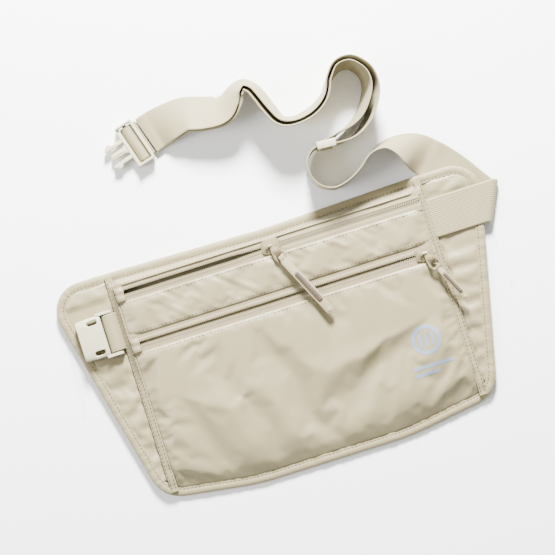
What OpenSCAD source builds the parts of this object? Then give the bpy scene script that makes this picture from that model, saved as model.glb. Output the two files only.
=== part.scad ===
// Money belt: a flat zipped pouch with two zips, a webbing waist strap and a side-release buckle.
// Frame: origin at the bottom centre of the pouch, X along the belt, Y towards the top edge,
// Z out of the front. The pouch lies on its back. Millimetres.

/* [Pouch] */
// Width of the pouch between its top corners
pouch_w = 280; // [270:1:290]
// Height of the pouch from its lowest to its highest edge
pouch_h = 156; // [152:1:160]
// Distance of each side seam from the middle
seam_x = 102; // [101:0.5:103]
// Clear depth of each of the two pockets
pocket_gap = 4.6; // [4.6:0.1:5]
// Height of the wings above the ground, room for the strap behind them
wing_lift = 2.4; // [2.4:0.1:2.8]

/* [Zips] */
// Height of the upper zip above the middle of the pouch
upper_zip_y = 63.5; // [63:0.25:64]
// Height of the lower zip above the middle of the pouch
lower_zip_y = 30; // [28:0.5:31]
// Place of the upper slider along its zip
upper_slider_x = 2; // [-40:1:40]
// Place of the lower slider along its zip
lower_slider_x = 93; // [91:0.5:93]

/* [Strap] */
// Width of the webbing
web_w = 25; // [25:0.1:25.2]
// Thickness of the webbing
web_t = 1.2; // [1.1:0.1:1.2]

/* [Hidden] */
$fn = 48;

cream = [0.80, 0.76, 0.66];
trim_cream = [0.74, 0.70, 0.59];
web_cream = [0.70, 0.66, 0.55];
white_plastic = [0.86, 0.85, 0.80];
zip_cream = [0.68, 0.65, 0.53];
grip_brown = [0.47, 0.43, 0.37];
print_grey = [0.66, 0.71, 0.76];

// Cloth layers, from the back up.
back_t = 1.2;
ply = 0.8;
lining_t = 0.6;
divider_z = back_t + pocket_gap;
front_z = divider_z + lining_t + pocket_gap;
front_top = front_z + ply;
border_top = back_t + ply;
rim = 1;
flange = 4.8;
skirt_inset = 6;
top_inset = 5;
panel_x = seam_x - 2;
tape_out_x = seam_x + 2;
ramp_x = [seam_x + 2.2, seam_x + 5.2];

// Zip sections.
fold_half = 5.5;
tape_half = 6;
tape_z = front_z - 1.6;
tape_t = 0.6;
coil_z = tape_z - 0.4;
coil_h = 1.4;
coil_w = 1.5;
open_half = 2.5;
shut_half = 1.1;
slider_l = 12;
slider_w = 9.8;
slider_top = front_z + 0.2;
lug_z = front_z + 1.9;
eye_r = 1.3;

// Female buckle, lying on the left wing.
fem_bar = [-109, 41.3, 8];
fem_w = 29.4;
fem_z = [5.5, 12.1];
fem_len = 18;

// Strap path behind the right wing.
fold_at = [143.2, 49.5];
fold_dir = 65.3;
over_z = border_top + wing_lift + ply + 0.1;
under_z = 0.3;
edge_gap = 0.3;

// Male buckle, flat on the ground at the end of the strap.
male_at = [-56.2, 152.7];
male_turn = 196.6;
male_pivot = [-2.4, 3.2];
male_bar_u = 4.2;
male_z = 3.2;

// Waist strap, from the fold behind the right wing to the male buckle:
// x, y, lean of its width from flat, gap to the return layer, lift of the main and of the return layer.
ROUTE = [
    [143.2, 49.5, 0, 0, 0, 0], [134.5, 61, 0, 0, 0, 0], [127.5, 71.5, 0, 0, 0, 0], [120, 81, 0, 0, 0, 0],
    [112.5, 88.5, 1.5, 0, 0, 0], [105, 95.5, 30, 0, 0, 0], [97, 100.5, 58, 0, 0, 0],
    [88.5, 102.5, 78, 0, 0, 0], [79, 99.5, 90, 0, 0, 0], [70.5, 93, 90, 0, 0, 0], [61.5, 88, 90, 0, 0, 0],
    [51.5, 86, 90, 0, 0, 0], [43, 90, 90, 0, 0.4, 0], [38.5, 99, 90, 0, 1.2, 1.2],
    [40.5, 108, 90, 0, 2, 2], [46, 113, 90, 2.8, 2.4, 2.4], [54, 113.5, 90, 2.8, 2.4, 2.4],
    [63, 112, 91, 5.6, 1.6, 1.6], [74, 114, 96, 6.4, 0.6, 0.6], [84, 121, 100, 4, 0, 0],
    [91, 131, 102, 3, 0, 0], [94.5, 141, 102, 2.8, 0, 0], [93, 151.5, 100, 2.8, 0, 0],
    [85, 160, 98, 2.8, 0, 0], [75, 160, 96, 2.8, 0, 0], [67, 153, 90, 2.8, 0, 0],
    [61.5, 144, 84, 2.8, 0, 0], [52.5, 138, 80, 2.8, 0, 0], [41.5, 135.5, 80, 2.8, 0, 0],
    [31, 140, 80, 2.8, 0, 0], [24, 151, 77, 2.8, 0, 0], [17, 162.5, 73, 2.8, 0, 0],
    [7, 160.5, 70, 2.8, 0.2, 0], [-2, 155, 58, 2.7, 0.8, 0], [-12, 156.5, 38, 2.6, 1.6, 0],
    [-24, 159.5, 20, 2.5, 2, 0.1], [-37, 156.5, 8, 2.4, 2.2, 0.2], [-46, 155.8, 0, 2.3, 2.3, 0.2],
    [-52, 153.9, 0, 2.3, 2.3, 0.2]
];
TRI_GLIDE_POINT = 16;
RINGS_PER_SPAN = 2;

// ---- Outline of the pouch ----

function unit(v) = v / norm(v);
function fillet(a, b, c, r, n = 8) =
    let (u = unit(a - b), w = unit(c - b), half = acos(u * w) / 2, d = r / tan(half),
         centre = b + unit(u + w) * r / sin(half), p = b + u * d, q = b + w * d,
         a0 = atan2(p[1] - centre[1], p[0] - centre[0]), a1 = atan2(q[1] - centre[1], q[0] - centre[0]),
         turn = ((a1 - a0 + 540) % 360) - 180)
    [for (k = [0:n]) centre + r * [cos(a0 + turn * k / n), sin(a0 + turn * k / n)]];

half_w = pouch_w / 2;
half_h = pouch_h / 2;
RIGHT_CORNERS = [
    [50, -half_h, 160], [half_w - 29.4, -half_h + 9, 14], [half_w + 4.7, half_h, 18], [100, half_h, 200]
];
TOP_DIP = [0, half_h - 2.6, 300];
CORNERS = concat(
    RIGHT_CORNERS, [TOP_DIP],
    [for (k = [3:-1:0]) [-RIGHT_CORNERS[k][0], RIGHT_CORNERS[k][1], RIGHT_CORNERS[k][2]]]
);
function xy(p) = [p[0], p[1]];
OUTLINE = [
    for (k = [0:len(CORNERS) - 1])
        each fillet(xy(CORNERS[(k + len(CORNERS) - 1) % len(CORNERS)]), xy(CORNERS[k]),
                    xy(CORNERS[(k + 1) % len(CORNERS)]), CORNERS[k][2])
];
function inset(pts, d) = let (n = len(pts)) [
    for (k = [0:n - 1])
        let (a = unit(pts[k] - pts[(k + n - 1) % n]), b = unit(pts[(k + 1) % n] - pts[k]),
             m = unit([-a[1] - b[1], a[0] + b[0]]))
        pts[k] + m * d / max(0.3, m * [-a[1], a[0]])
];

module outline(d) { polygon(inset(OUTLINE, d)); }
module ring(outer, inner) { difference() { outline(outer); outline(inner); } }
module slab(z0, z1) { translate([0, 0, z0]) linear_extrude(z1 - z0) children(); }
module x_band(x0, x1, y0 = -200, y1 = 200) { translate([x0, y0]) square([x1 - x0, y1 - y0]); }

// A layer of the pouch that steps up from the middle into both raised wings.
module stepped(z0, z1) {
    far = half_w + 20;
    rise = [[-far, wing_lift], [-ramp_x[1], wing_lift], [-ramp_x[0], 0],
            [ramp_x[0], 0], [ramp_x[1], wing_lift], [far, wing_lift]];
    low = [for (p = rise) [p[0], p[1] + z0]];
    high = [for (k = [len(rise) - 1:-1:0]) [rise[k][0], rise[k][1] + z1]];
    intersection() {
        translate([0, 200, 0]) rotate([90, 0, 0]) linear_extrude(400) polygon(concat(low, high));
        slab(-1, 20) children();
    }
}

// ---- Pouch ----

module back_panel() { color(cream) stepped(0, back_t) outline(rim); }

module wing_panel(side) {
    color(cream) slab(back_t + wing_lift, border_top + wing_lift) intersection() {
        outline(rim);
        if (side < 0) x_band(-200, -ramp_x[1]); else x_band(ramp_x[1], 200);
    }
}
module left_wing_panel() { wing_panel(-1); }
module right_wing_panel() { wing_panel(1); }

module front_panel() {
    fold_y = lower_zip_y - fold_half;
    color(cream) {
        slab(front_z, front_top) intersection() {
            outline(skirt_inset);
            x_band(-panel_x, panel_x, -200, fold_y);
        }
        slab(back_t, front_z + 0.01) intersection() {
            ring(skirt_inset, skirt_inset + ply);
            x_band(-panel_x, panel_x, -200, 0);
        }
        slab(back_t, border_top) intersection() {
            ring(rim, skirt_inset + ply);
            x_band(-panel_x, panel_x, -200, 0);
        }
        slab(tape_z + tape_t, front_top) x_band(-panel_x, panel_x, fold_y - ply, fold_y);
    }
}

module strip_panel() {
    low = lower_zip_y + fold_half;
    high = upper_zip_y - fold_half;
    color(cream) {
        slab(front_z, front_top) x_band(-panel_x, panel_x, low, high);
        for (y = [low, high - ply]) slab(tape_z + tape_t, front_top) x_band(-panel_x, panel_x, y, y + ply);
    }
}

module top_facing() {
    fold_y = upper_zip_y + fold_half;
    color(cream) {
        slab(front_z, front_top) intersection() { outline(top_inset); x_band(-panel_x, panel_x, fold_y); }
        slab(back_t, front_z + 0.01) intersection() {
            ring(top_inset, top_inset + ply);
            x_band(-panel_x, panel_x, 0);
        }
        slab(back_t, border_top) intersection() { ring(rim, top_inset + ply); x_band(-panel_x, panel_x, 0); }
    }
}

module divider_lining() {
    wall_y = upper_zip_y - tape_half - 1.5;
    color(cream) {
        slab(divider_z, divider_z + lining_t) intersection() {
            outline(skirt_inset + ply);
            x_band(-panel_x, panel_x, -200, wall_y);
        }
        slab(divider_z, front_z) x_band(-panel_x, panel_x, wall_y - lining_t, wall_y);
    }
}

module edge_binding() {
    color(trim_cream) {
        stepped(0, border_top + ply) ring(0, rim);
        stepped(border_top, border_top + ply) difference() {
            ring(0, flange);
            for (s = [-1, 1])
                x_band(min(s * panel_x, s * ramp_x[1]), max(s * panel_x, s * ramp_x[1]), -72.2, 72.2);
        }
    }
}

module seam_tape(side) {
    x0 = min(side * panel_x, side * tape_out_x);
    color(trim_cream) {
        slab(back_t, front_top + 0.2) intersection() { outline(rim + flange); x_band(x0, x0 + 4, -200, 200); }
    }
}
module left_seam_tape() { seam_tape(-1); }
module right_seam_tape() { seam_tape(1); }

module printed_mark() {
    centre = [77.6, -22];
    color(print_grey) slab(front_top, front_top + 0.15) translate(centre) {
        difference() { circle(9.5); circle(7); }
        for (k = [-1:1]) translate([k * 4 - 1, -4.4]) square([2, 8.8]);
        for (k = [0:1]) translate([-13, -17.5 - k * 4.5]) square([26 - k * 10, 2.2]);
    }
}

// ---- Zips ----

// Half gap of a zip chain along its length: open up to the slider, shut beyond it.
function chain_half(slider_x) = [
    [-panel_x, open_half], [slider_x - slider_l / 2, open_half], [slider_x + slider_l / 2, shut_half],
    [panel_x, shut_half]
];
module zip_tape(y, side, slider_x) {
    inner = [for (p = chain_half(slider_x)) [p[0], side * (p[1] + coil_w)]];
    color(zip_cream) translate([0, y, tape_z]) linear_extrude(tape_t)
        polygon(concat(inner, [[panel_x, side * tape_half], [-panel_x, side * tape_half]]));
}
module zip_coil(y, side, slider_x) {
    near = chain_half(slider_x);
    inner = [for (p = near) [p[0], side * p[1]]];
    outer = [for (k = [len(near) - 1:-1:0]) [near[k][0], side * (near[k][1] + coil_w)]];
    color(zip_cream) translate([0, y, coil_z]) linear_extrude(coil_h) polygon(concat(inner, outer));
}
module upper_zip_upper_tape() { zip_tape(upper_zip_y, 1, upper_slider_x); }
module upper_zip_lower_tape() { zip_tape(upper_zip_y, -1, upper_slider_x); }
module lower_zip_upper_tape() { zip_tape(lower_zip_y, 1, lower_slider_x); }
module lower_zip_lower_tape() { zip_tape(lower_zip_y, -1, lower_slider_x); }
module upper_zip_upper_coil() { zip_coil(upper_zip_y, 1, upper_slider_x); }
module upper_zip_lower_coil() { zip_coil(upper_zip_y, -1, upper_slider_x); }
module lower_zip_upper_coil() { zip_coil(lower_zip_y, 1, lower_slider_x); }
module lower_zip_lower_coil() { zip_coil(lower_zip_y, -1, lower_slider_x); }

// Folded cloth tab that covers the left end of a zip.
module end_tab(y) {
    color(cream) translate([-panel_x + 0.05, y - 5, coil_z + coil_h + 0.05]) cube([4.5, 10, 1.4]);
}
module upper_zip_end_tab() { end_tab(upper_zip_y); }
module lower_zip_end_tab() { end_tab(lower_zip_y); }

// Coil zip slider: two plates joined by a narrow neck, with side flanges.
module slider(x, y) {
    low = coil_z - 1.1;
    color(white_plastic) translate([x, y, 0]) {
        slab(low, low + 0.8) plate();
        slab(slider_top - 0.6, slider_top) plate();
        slab(low + 0.4, slider_top - 0.3) translate([1, -0.8]) square([4, 1.6]);
        for (s = [-1, 1]) slab(coil_z + coil_h - 0.1, slider_top)
            translate([-slider_l / 2 + 1.5, s * (slider_w / 2 - 0.3) - 0.3]) square([slider_l - 3, 0.6]);
    }
}
module plate() {
    r = 2.4;
    translate([-slider_l / 2 + r, -slider_w / 2 + r]) offset_square(slider_l - 2 * r, slider_w - 2 * r, r);
}
module offset_square(a, b, r) {
    union() {
        for (x = [0, a], y = [0, b]) translate([x, y]) circle(r);
        translate([-r, 0]) square([a + 2 * r, b]);
        translate([0, -r]) square([a, b + 2 * r]);
    }
}
module slider_lug(x, y) {
    color(white_plastic) translate([x, y, 0]) {
        for (s = [-1, 1]) translate([s * 2.6 - 0.6, -0.9, slider_top])
            cube([1.2, 1.8, lug_z + 0.6 - slider_top]);
        translate([-2.7, 0, lug_z]) rotate([0, 90, 0]) cylinder(r = 0.5, h = 5.4);
    }
}
module upper_slider() { slider(upper_slider_x, upper_zip_y); }
module lower_slider() { slider(lower_slider_x, lower_zip_y); }
module upper_slider_lug() { slider_lug(upper_slider_x, upper_zip_y); }
module lower_slider_lug() { slider_lug(lower_slider_x, lower_zip_y); }

// ---- Zip pulls: a plate that hangs on the slider's lug, and a flat strip with a ribbed grip ----

plate_t = 1;
plate_l = 12.5;
strip_w = 5.2;
strip_t = 1.4;
hole_r = 9.3;
upper_pull_dir = -64.5;
lower_pull_dir = -64;

// Children are drawn along +X from the lug of a slider, turned the way its pull lies.
module along_pull(x, y, turn) { translate([x, y, 0]) rotate([0, 0, turn]) children(); }

// Eye round the lug's bar, and the tapered plate with its oval hole.
module pull_plate(x, y, turn, low_z) {
    color(white_plastic) {
        translate([x - 1.2, y, lug_z]) rotate([0, 90, 0]) difference() {
            cylinder(r = eye_r, h = 2.4);
            translate([0, 0, -1]) cylinder(r = 0.8, h = 5);
        }
        along_pull(x, y, turn) slab(low_z, low_z + plate_t) difference() {
            union() {
                polygon([
                    [1.3, -1.1], [1.3, 1.1], [3.4, 2.6], [plate_l - 4, 3.8], [plate_l - 4, -3.8], [3.4, -2.6]
                ]);
                translate([plate_l - 4, 0]) circle(3.8);
            }
            for (y = [-1.3, 1.3]) translate([hole_r, y]) circle(1.4);
            translate([hole_r - 1.4, -1.3]) square([2.8, 2.6]);
        }
    }
}
// Flat strip, threaded through the plate's hole, with a round end.
module pull_strip(x, y, turn, low_z, plate_z, length) {
    color(cream) along_pull(x, y, turn) {
        slab(low_z, low_z + strip_t) {
            translate([hole_r + 1.6, -strip_w / 2]) square([length - hole_r - 1.6 - 2.6, strip_w]);
            translate([length - 2.6, 0]) circle(2.6);
        }
        slab(plate_z - 0.8, low_z + strip_t) translate([hole_r - 0.8, -1.8]) square([1.4, 3.6]);
        slab(low_z + strip_t - 0.9, low_z + strip_t) translate([hole_r - 0.8, -1.8]) square([3, 3.6]);
    }
}
// Ribbed grip moulded on the strip.
module pull_grip(x, y, turn, low_z, from, length) {
    color(grip_brown) along_pull(x, y, turn) slab(low_z + strip_t, low_z + strip_t + 0.7) {
        translate([from, -1.6]) square([length, 3.2]);
    }
}

upper_plate_z = 12.9;
upper_strip_z = 14.5;
upper_pull_l = 57;
lower_plate_z = 12.6;
lower_strip_z = 12.3;
lower_pull_l = 39;
module upper_pull_plate() { pull_plate(upper_slider_x, upper_zip_y, upper_pull_dir, upper_plate_z); }
module lower_pull_plate() { pull_plate(lower_slider_x, lower_zip_y, lower_pull_dir, lower_plate_z); }
module upper_pull_strip() {
    pull_strip(upper_slider_x, upper_zip_y, upper_pull_dir, upper_strip_z, upper_plate_z, upper_pull_l);
}
module lower_pull_strip() {
    color(cream) along_pull(lower_slider_x, lower_zip_y, lower_pull_dir)
    slab(lower_strip_z, lower_strip_z + strip_t) {
        translate([plate_l + 0.2, -1.7]) square([lower_pull_l - plate_l - 2, 3.4]);
        translate([lower_pull_l - 1.8, 0]) circle(1.7);
    }
}
module upper_pull_grip() {
    pull_grip(upper_slider_x, upper_zip_y, upper_pull_dir, upper_strip_z, 23, 24);
}
module lower_pull_grip() {
    color(grip_brown) along_pull(lower_slider_x, lower_zip_y, lower_pull_dir)
        slab(lower_strip_z + strip_t, lower_strip_z + strip_t + 0.4) translate([17, -1.1]) square([17, 2.2]);
}

// ---- Female buckle on its webbing tab ----

tab_in = 1.6;
tab_out = tab_in + 1;
module buckle_tab() {
    color(web_cream) translate([fem_bar[0], fem_bar[1], fem_bar[2]]) {
        rotate([90, 0, 0]) difference() {
            translate([0, 0, -web_w / 2]) cylinder(r = tab_out, h = web_w);
            translate([0, 0, -web_w]) cylinder(r = tab_in, h = 2 * web_w);
        }
        difference() {
            translate([0, -web_w / 2, -tab_out]) cube([-tape_out_x - fem_bar[0], web_w, 1]);
            rotate([90, 0, 0]) translate([0, 0, -web_w]) cylinder(r = tab_in, h = 2 * web_w);
        }
    }
}
module female_buckle_bar() {
    color(white_plastic) translate([fem_bar[0], fem_bar[1] + fem_w / 2 - 1.8, fem_bar[2]])
        rotate([90, 0, 0]) cylinder(r = 1.3, h = fem_w - 3.6);
}
module female_buckle_housing() {
    back_x = fem_bar[0] - 3.4;
    mid = (fem_z[0] + fem_z[1]) / 2;
    color(white_plastic) difference() {
        union() {
            translate([back_x - fem_len, fem_bar[1] - 13.2, fem_z[0]])
                cube([fem_len, 26.4, fem_z[1] - fem_z[0]]);
            for (s = [-1, 1])
                translate([back_x - 3, fem_bar[1] + s * (fem_w / 2 - 0.9) - 0.9, fem_bar[2] - 1.7])
                    cube([6.8, 1.8, 3.4]);
        }
        translate([back_x - fem_len - 1, fem_bar[1] - 11, mid - 2.3]) cube([fem_len - 1.5, 22, 4.6]);
        for (s = [-1, 1]) translate([back_x - 5.5, fem_bar[1] + s * 9.6, 0]) side_window(20);
    }
}
// Side window through which a latch shows, a long slot with round ends.
module side_window(h) {
    linear_extrude(h) union() {
        for (x = [-1.5, 1.5]) translate([x, 0]) circle(1.5);
        translate([-1.5, -1.5]) square(3);
    }
}

// ---- Strap ----

module strap_over_wing() {
    f = [cos(fold_dir), sin(fold_dir)];
    low_y = fold_at[1] - web_w / 2;
    high_y = fold_at[1] + web_w / 2;
    color(web_cream) slab(over_z, over_z + web_t) polygon([
        [tape_out_x, low_y], [fold_at[0] - web_w / 2 * f[0] / f[1], low_y],
        [fold_at[0] + web_w / 2 * f[0] / f[1], high_y], [tape_out_x, high_y]
    ]);
}
module strap_fold() {
    r_out = (over_z + web_t - under_z) / 2;
    length = web_w / sin(fold_dir);
    color(web_cream) translate([fold_at[0], fold_at[1], under_z + r_out]) rotate([0, 0, fold_dir])
        rotate([0, 90, 0]) translate([0, 0, -length / 2]) difference() {
            cylinder(r = r_out, h = length);
            translate([0, 0, -1]) cylinder(r = r_out - web_t, h = length + 2);
            translate([-20, 0, -1]) cube([40, 20, length + 2]);
        }
}

function spline(a, b, c, d, t) =
    0.5 * (2 * b + (c - a) * t + (2 * a - 5 * b + 4 * c - d) * t * t + (3 * b - a - 3 * c + d) * t * t * t);
function route_at(s) =
    let (n = len(ROUTE), k = min(floor(s), n - 2), t = s - k)
    spline(ROUTE[max(k - 1, 0)], ROUTE[k], ROUTE[k + 1], ROUTE[min(k + 2, n - 1)], t);
function heading(s) =
    let (e = 0.02, d = route_at(min(s + e, len(ROUTE) - 1)) - route_at(max(s - e, 0))) unit([d[0], d[1]]);
function edge_height(lean) = web_w / 2 * abs(sin(lean)) + web_t / 2 * abs(cos(lean)) + edge_gap;
// Middle of the main layer (layer 0) or of the return layer (layer 1).
function web_centre(s, layer) =
    let (p = route_at(s), h = heading(s), right = [h[1], -h[0]],
         shift = layer == 1 ? -p[3] * sin(p[2]) : 0, lift = layer == 1 ? p[5] : p[4])
    [p[0] + right[0] * shift, p[1] + right[1] * shift, edge_height(p[2]) + lift];
// Corners of one cross-section; the first lies along the fold and the next turns square to the strap.
function web_ring(s, layer) =
    let (p = route_at(s), h = heading(s), lean = p[2], c = web_centre(s, layer), at_fold = max(0, 1 - s),
         w = (1 - at_fold) * [-h[1] * cos(lean), h[0] * cos(lean), sin(lean)]
             - at_fold * [cos(fold_dir), sin(fold_dir), 0] / sin(fold_dir),
         n = [h[1] * sin(lean), -h[0] * sin(lean), cos(lean)])
    [for (q = [[-1, -1], [1, -1], [1, 1], [-1, 1]]) c + q[0] * w * web_w / 2 + q[1] * n * web_t / 2];
module web_sweep(first, last, layer) {
    count = round((last - first) * RINGS_PER_SPAN);
    points = [for (k = [0:count]) each web_ring(first + (last - first) * k / count, layer)];
    sides = [for (k = [0:count - 1], j = [0:3])
        let (a = 4 * k + j, b = 4 * k + (j + 1) % 4) each [[a, a + 4, b], [b, a + 4, b + 4]]];
    last_ring = 4 * count;
    ends = [
        [0, 1, 2], [0, 2, 3],
        [last_ring, last_ring + 2, last_ring + 1], [last_ring, last_ring + 3, last_ring + 2]
    ];
    polyhedron(points, concat(sides, ends));
}
module main_strap() { color(web_cream) web_sweep(0, len(ROUTE) - 1, 0); }
module return_strap() { color(web_cream) web_sweep(TRI_GLIDE_POINT - 0.1, len(ROUTE) - 1, 1); }

// Three-bar glide that holds the end of the return layer, standing on edge round the webbing.
module tri_glide() {
    p = route_at(TRI_GLIDE_POINT);
    h = heading(TRI_GLIDE_POINT);
    rail = web_w / 2 + 0.2;
    main_low = -web_t / 2 - 0.2;
    main_high = web_t / 2 + 0.2;
    return_high = -p[3] + web_t / 2;
    color(white_plastic) translate([p[0], p[1], edge_height(90) + p[4]]) rotate([0, 0, atan2(h[1], h[0])])
        rotate([90, 0, 0]) {
            for (s = [-1, 1]) translate([-5.5, s * (rail + 0.8) - 0.8, return_high])
                cube([11, 1.6, main_high + 1.5 - return_high]);
            for (x = [-5.5, 3.7]) translate([x, -rail - 0.8, main_high]) cube([1.8, 2 * rail + 1.6, 1.5]);
            translate([-1, -rail - 0.8, return_high]) cube([2, 2 * rail + 1.6, main_low - return_high]);
        }
}

// ---- Male buckle ----

module at_male() { translate([male_at[0], male_at[1], 0]) rotate([0, 0, male_turn]) children(); }

module male_buckle_frame() {
    rail_y = web_w / 2 + 0.4;
    rail_t = 1.3;
    color(white_plastic) at_male() {
        for (s = [-1, 1]) translate([-1.4, s * (rail_y + rail_t / 2) - rail_t / 2, 1.6])
            cube([11.4, rail_t, 5.6]);
        translate([-1.4, -rail_y - 0.1, 5.2]) cube([2.2, 2 * rail_y + 0.2, 2]);
        translate([male_bar_u, rail_y + 0.1, male_z]) rotate([90, 0, 0])
            cylinder(r = 1.3, h = 2 * rail_y + 0.2);
        translate([7.6, -rail_y - 0.1, 1.6]) cube([2.4, 2 * rail_y + 0.2, 4]);
        translate([9.9, -2.1, 2]) cube([9.6, 4.2, 3.2]);
        translate([19.5, 0, 2]) cylinder(r = 2.1, h = 3.2);
    }
}

// The strap's turn round the centre bar of the male buckle.
module strap_end_loop() {
    r_in = 1.5;
    r_out = r_in + web_t;
    r_mid = r_in + web_t / 2;
    stub_u = male_pivot[0] + 0.2;
    slope = asin(r_mid / (male_bar_u - male_pivot[0]));
    run = (male_bar_u - stub_u) * cos(slope);
    color(web_cream) at_male() translate([0, web_w / 2, 0]) rotate([90, 0, 0]) linear_extrude(web_w)
    difference() {
        union() {
            translate([male_bar_u, male_z]) circle(r_out);
            translate([stub_u, male_z - r_out]) square([male_bar_u - stub_u, web_t]);
            intersection() {
                translate([male_pivot[0], male_z]) rotate(slope)
                    translate([-2, -web_t / 2]) square([run + 2.4, web_t]);
                translate([stub_u, -5]) square([30, 20]);
            }
        }
        translate([male_bar_u, male_z]) circle(r_in);
    }
}

// One springy arm with its outward barb.
module latch_arm(side) {
    color(white_plastic) at_male() mirror([0, side < 0 ? 1 : 0, 0]) translate([10.5, 5.6, 1.9])
        linear_extrude(3.4) polygon([
            [0, -1.3], [0, 1.3], [8, 1.3], [8.2, 2.5], [10, 2.7], [13.2, 0.9], [13.2, -0.9], [8, -0.9]
        ]);
}
module left_latch_arm() { latch_arm(1); }
module right_latch_arm() { latch_arm(-1); }

back_panel();
left_wing_panel();
right_wing_panel();
front_panel();
strip_panel();
top_facing();
divider_lining();
edge_binding();
left_seam_tape();
right_seam_tape();
upper_zip_upper_tape();
upper_zip_lower_tape();
lower_zip_upper_tape();
lower_zip_lower_tape();
upper_zip_upper_coil();
upper_zip_lower_coil();
lower_zip_upper_coil();
lower_zip_lower_coil();
upper_zip_end_tab();
lower_zip_end_tab();
printed_mark();
buckle_tab();
female_buckle_housing();
female_buckle_bar();
strap_over_wing();
strap_fold();
main_strap();
return_strap();
tri_glide();
male_buckle_frame();
strap_end_loop();
left_latch_arm();
right_latch_arm();
upper_slider();
upper_slider_lug();
upper_pull_plate();
upper_pull_strip();
upper_pull_grip();
lower_slider();
lower_slider_lug();
lower_pull_plate();
lower_pull_strip();
lower_pull_grip();
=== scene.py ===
# %% [markdown]
# # Money belt
# A flat nylon pouch with two zipped pockets, side wings, a side-release buckle and a webbing waist strap.
# The script loads the imported CAD part as a fixed frame, builds each soft and hard piece over it, and hangs
# most pieces on an empty named after the CAD body that moves them. Lengths are in millimetres and become
# metres in `make`.
# The order is: frame, camera, helpers, finishes, light, straps and buckles, pouch, zips, sliders and pulls.

# %% Frame
from math import acos, asin, atan2, cos, degrees, hypot, pi, radians, sin, tan

import bmesh
import bpy
import numpy as np
from mathutils import Matrix, Vector, noise
from mathutils.bvhtree import BVHTree
from numpy import linspace


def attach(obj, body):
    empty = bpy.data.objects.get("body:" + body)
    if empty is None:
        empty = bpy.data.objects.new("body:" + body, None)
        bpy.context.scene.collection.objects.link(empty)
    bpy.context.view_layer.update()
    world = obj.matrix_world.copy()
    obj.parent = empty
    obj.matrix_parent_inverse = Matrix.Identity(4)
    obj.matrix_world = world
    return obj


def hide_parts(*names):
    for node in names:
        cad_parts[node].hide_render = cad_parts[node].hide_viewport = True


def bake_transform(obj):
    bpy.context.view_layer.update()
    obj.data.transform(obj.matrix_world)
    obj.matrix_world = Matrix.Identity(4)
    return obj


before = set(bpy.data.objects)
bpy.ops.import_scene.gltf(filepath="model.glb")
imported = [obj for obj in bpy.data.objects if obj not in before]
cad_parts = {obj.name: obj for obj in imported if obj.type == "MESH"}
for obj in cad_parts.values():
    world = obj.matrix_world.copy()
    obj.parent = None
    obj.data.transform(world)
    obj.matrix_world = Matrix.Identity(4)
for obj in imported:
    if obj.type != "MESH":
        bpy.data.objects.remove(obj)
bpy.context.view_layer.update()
MM = 0.001

# %% [markdown]
# ## Camera
# It looks straight down on the pouch as it lies on a table, turned so that the belt line climbs to the right.

# %% Camera
VIEW_CENTRE = (0.2, 43.3, 9)
VIEW_UP = Vector((0.3007, 0.9537, 0)).normalized()
VIEW_WIDTH = 349.7
CAMERA_HEIGHT = 1150


def link(name, data):
    made = bpy.data.objects.new(name, data)
    bpy.context.scene.collection.objects.link(made)
    return made


def look_down():
    camera = link("camera", bpy.data.cameras.new("camera"))
    camera.data.lens = camera.data.sensor_width * CAMERA_HEIGHT / VIEW_WIDTH
    right = VIEW_UP.cross(Vector((0, 0, 1)))
    turn = Matrix((right, VIEW_UP, Vector((0, 0, 1)))).transposed().to_4x4()
    place = Vector(VIEW_CENTRE) + Vector((0, 0, CAMERA_HEIGHT))
    camera.matrix_world = Matrix.Translation(place * MM) @ turn
    bpy.context.scene.camera = camera
    return right


VIEW_RIGHT = look_down()
print("camera", CAMERA_HEIGHT, "mm up")

# %% [markdown]
# ## Shapes
# `Shape` gathers closed shells in millimetres, and `make` joins them into one mesh with outward faces.


# %% Shape helper
def ease(low, high, x):
    t = np.clip((np.asarray(x, float) - low) / (high - low), 0, 1)
    return t * t * (3 - 2 * t)


def dome(t):
    return np.sin(np.pi / 2 * np.clip(t, 0, 1))


def ripple(x, y, size, seed=0.0):
    """Smooth noise from about -1 to 1 at each point of two arrays."""
    x, y = np.broadcast_arrays(np.asarray(x, float), np.asarray(y, float))
    flat = [noise.noise((a / size + 31.7 * seed, b / size - 17.3 * seed, 5.1 * seed))
            for a, b in zip(x.flat, y.flat)]
    return np.array(flat).reshape(x.shape)


def fillet(corners, steps=10):
    """Rounds each [x, y, radius] corner of a closed polygon."""
    out = []
    for k, (x, y, r) in enumerate(corners):
        b = np.array([x, y], float)
        a, c = (np.array(corners[i][:2], float) for i in (k - 1, (k + 1) % len(corners)))
        u, v = (a - b) / np.linalg.norm(a - b), (c - b) / np.linalg.norm(c - b)
        half = acos(np.clip(u @ v, -1, 1)) / 2
        if r <= 0 or half > 1.57:
            out.append(b)
            continue
        middle = b + (u + v) / np.linalg.norm(u + v) * r / sin(half)
        first, last = b + u * r / tan(half) - middle, b + v * r / tan(half) - middle
        a0, a1 = atan2(first[1], first[0]), atan2(last[1], last[0])
        turn = (a1 - a0 + pi) % (2 * pi) - pi
        out += [middle + r * np.array([cos(a0 + turn * s / steps), sin(a0 + turn * s / steps)])
                for s in range(steps + 1)]
    return np.array(out)


def inset(points, depth):
    """Moves a counter-clockwise outline inwards."""
    p = np.asarray(points, float)
    ahead, behind = np.roll(p, -1, 0) - p, p - np.roll(p, 1, 0)
    ahead /= np.linalg.norm(ahead, axis=1)[:, None] + 1e-12
    behind /= np.linalg.norm(behind, axis=1)[:, None] + 1e-12
    n = np.stack([-(ahead + behind)[:, 1], (ahead + behind)[:, 0]], 1)
    n /= np.linalg.norm(n, axis=1)[:, None] + 1e-12
    square = np.clip((n * np.stack([-ahead[:, 1], ahead[:, 0]], 1)).sum(1), 0.4, 1)
    return p + n * (depth / square)[:, None]


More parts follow.
